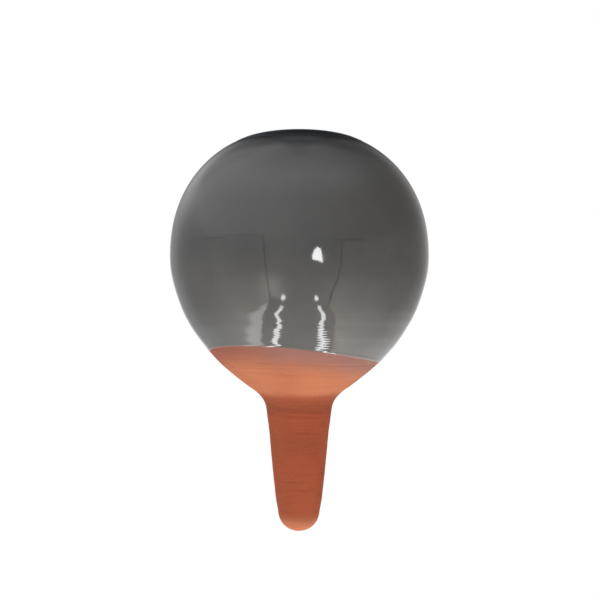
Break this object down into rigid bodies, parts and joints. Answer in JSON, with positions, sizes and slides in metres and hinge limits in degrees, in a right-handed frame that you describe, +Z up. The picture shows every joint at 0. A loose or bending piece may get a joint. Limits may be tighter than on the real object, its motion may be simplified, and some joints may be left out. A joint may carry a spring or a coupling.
{
  "type": "irrigation olla",
  "caption": "Ball-shaped glazed clay water reservoir with a flush domed lid and a hollow tapering spike of bare clay that seeps water into the soil.",
  "frame": {"origin": "on the vertical axis at the soil line, where the belly of the ball runs into the spike", "axes": "+Z up along the axis towards the lid, -Z down the spike; +X to the right and -Y towards the viewer of the picture, which only the wavy edge of the glaze tells apart"},
  "size_m": [0.15, 0.15, 0.2317],
  "materials": {
    "terracotta": "bare low-fired clay, matte, with fine throwing lines",
    "dark_glaze": "dark grey glaze, glossy"
  },
  "bodies": {
    "vessel": {"clay_vessel": "terracotta", "glaze_coat": "dark_glaze"},
    "lid": {"lid_clay": "terracotta", "lid_glaze": "dark_glaze"}
  },
  "joints": [
    {"name": "lid_lift", "type": "slide", "parent": "vessel", "child": "lid", "axis": [0, 0, 1], "range_m": [0, 0.08]}
  ]
}
